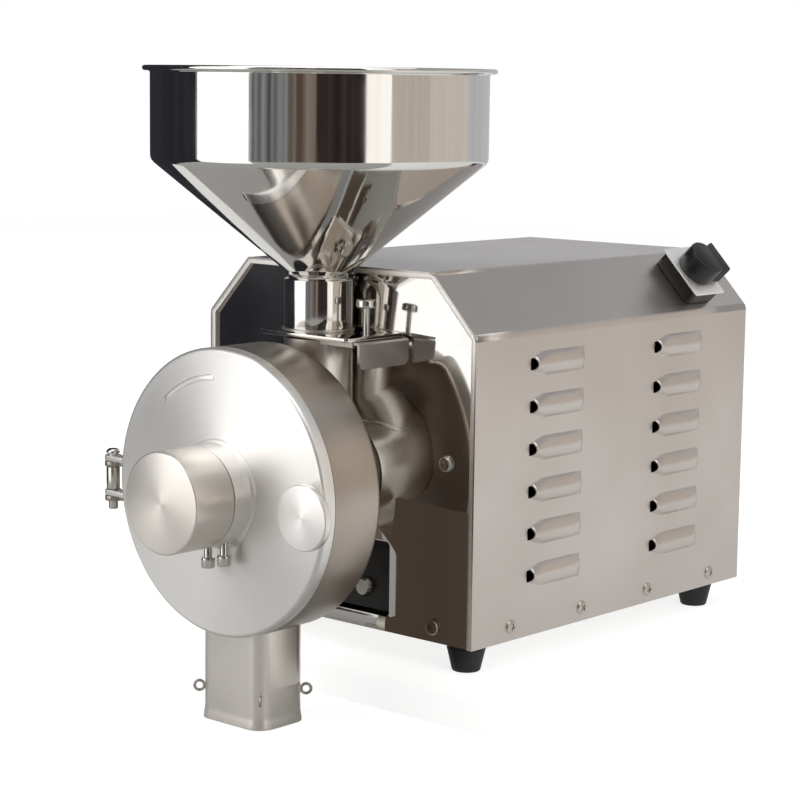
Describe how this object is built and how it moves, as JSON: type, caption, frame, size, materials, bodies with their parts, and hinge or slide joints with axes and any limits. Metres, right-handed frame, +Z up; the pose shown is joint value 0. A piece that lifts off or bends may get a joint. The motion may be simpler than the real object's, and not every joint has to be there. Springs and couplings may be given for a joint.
{
  "type": "coffee grinder",
  "caption": "Table-top disc mill for coffee and grain with a sheet-steel motor casing, a hinged grinding chamber, a fineness knob, a slide gate, a tall hopper and a spout",
  "frame": {"origin": "middle of the bounding box at the level of the spout's lower end, the lowest point of the machine", "axes": "+Z up, +Y from the fineness knob towards the rear panel, +X towards the side with the switch and the clamp knob"},
  "size_m": [0.2498, 0.472, 0.4085],
  "materials": {
    "satin_steel": "satin stainless sheet",
    "mirror_steel": "mirror-polished stainless sheet",
    "turned_steel": "turned stainless face, polished by hand",
    "ground_steel": "ground tool steel",
    "zinc": "bright zinc-plated steel",
    "rubber": "moulded black rubber",
    "black_plastic": "moulded black plastic",
    "black_paint": "black motor paint",
    "motor_iron": "varnished motor laminations",
    "grey_plastic": "moulded grey plastic"
  },
  "bodies": {
    "machine": {"casing_shell": "satin_steel", "rear_panel": "satin_steel", "base_tray": "satin_steel", "chamber_body": "satin_steel", "feed_throat": "satin_steel", "spout": "satin_steel", "switch_plate": "satin_steel", "front_panel": "mirror_steel", "gate_guide": "mirror_steel", "front_bearing": "ground_steel", "rear_bearing": "ground_steel", "hinge_pin": "zinc", "motor_bolt_1": "zinc", "motor_bolt_2": "zinc", "bag_eye_1": "zinc", "bag_eye_2": "zinc", "bag_eye_3": "zinc", "bag_eye_4": "zinc", "panel_bolt_1": "zinc", "panel_bolt_2": "zinc", "panel_bolt_3": "zinc", "panel_bolt_4": "zinc", "case_screw_left_1": "zinc", "case_screw_left_2": "zinc", "case_screw_left_3": "zinc", "case_screw_left_4": "zinc", "case_screw_right_1": "zinc", "case_screw_right_2": "zinc", "case_screw_right_3": "zinc", "case_screw_right_4": "zinc", "foot_front_left": "rubber", "foot_front_right": "rubber", "foot_rear_left": "rubber", "foot_rear_right": "rubber", "shaft_seal": "rubber", "cable_gland": "black_plastic", "switch_body": "black_plastic", "motor_front_bell": "black_paint", "motor_rear_bell": "black_paint", "motor_stator": "motor_iron", "capacitor": "grey_plastic"},
    "cover": {"front_cover": "turned_steel"},
    "still_disc": {"fixed_disc": "ground_steel", "disc_carrier": "satin_steel"},
    "fineness": {"fineness_knob": "turned_steel", "fineness_screw": "zinc"},
    "clamp_ring": {"clamp_washer": "zinc"},
    "clamp": {"clamp_knob": "turned_steel"},
    "lock_middle": {"lock_screw_1": "zinc"},
    "lock_side": {"lock_screw_2": "zinc"},
    "gate": {"slide_gate": "satin_steel"},
    "gate_lock": {"gate_screw": "zinc"},
    "hopper": {"hopper": "mirror_steel"},
    "switch": {"switch_handle": "black_plastic"},
    "rotor": {"main_shaft": "ground_steel", "motor_rotor": "motor_iron", "rotating_disc": "ground_steel", "disc_nut": "ground_steel", "feed_screw": "satin_steel", "cooling_fan": "black_plastic"}
  },
  "joints": [
    {"name": "cover_hinge", "type": "hinge", "parent": "machine", "child": "cover", "pos_m": [-0.10138, -0.18245, 0.148], "axis": [0, 0, -1], "range_deg": [0, 120]},
    {"name": "fineness_turn", "type": "hinge", "parent": "still_disc", "child": "fineness", "pos_m": [0.00162, -0.21745, 0.148], "axis": [0, -1, 0], "range_deg": [0, 540]},
    {"name": "disc_slide", "type": "slide", "parent": "cover", "child": "still_disc", "axis": [0, -1, 0], "range_m": [0, 0.00225]},
    {"name": "clamp_turn", "type": "hinge", "parent": "clamp_ring", "child": "clamp", "pos_m": [0.08562, -0.19245, 0.146], "axis": [0, -1, 0], "range_deg": [0, 3240]},
    {"name": "clamp_back_off", "type": "slide", "parent": "cover", "child": "clamp_ring", "axis": [0, -1, 0], "range_m": [0, 0.01125]},
    {"name": "lock_middle_turn", "type": "hinge", "parent": "cover", "child": "lock_middle", "pos_m": [0.00162, -0.19645, 0.11], "axis": [0, 0, -1], "range_deg": [0, 360]},
    {"name": "lock_side_turn", "type": "hinge", "parent": "cover", "child": "lock_side", "pos_m": [0.01562, -0.19645, 0.11], "axis": [0, 0, -1], "range_deg": [0, 360]},
    {"name": "gate_slide", "type": "slide", "parent": "machine", "child": "gate", "axis": [1, 0, 0], "range_m": [0, 0.039]},
    {"name": "gate_lock_turn", "type": "hinge", "parent": "machine", "child": "gate_lock", "pos_m": [0.04362, -0.10045, 0.258], "axis": [0, 0, 1], "range_deg": [0, 360]},
    {"name": "hopper_lift", "type": "slide", "parent": "machine", "child": "hopper", "axis": [0, 0, 1], "range_m": [0, 0.045]},
    {"name": "switch_turn", "type": "hinge", "parent": "machine", "child": "switch", "pos_m": [0.09612, 0.17055, 0.264], "axis": [0.726, 0, 0.6877], "range_deg": [-60, 60]},
    {"name": "rotor_spin", "type": "hinge", "parent": "machine", "child": "rotor", "pos_m": [0.00162, 0.02255, 0.148], "axis": [0, -1, 0], "continuous": true}
  ],
  "couplings": [
    {"joint": "disc_slide", "follows": "fineness_turn", "m_per_rad": 0.0002387},
    {"joint": "clamp_back_off", "follows": "clamp_turn", "m_per_rad": 0.0001989}
  ]
}
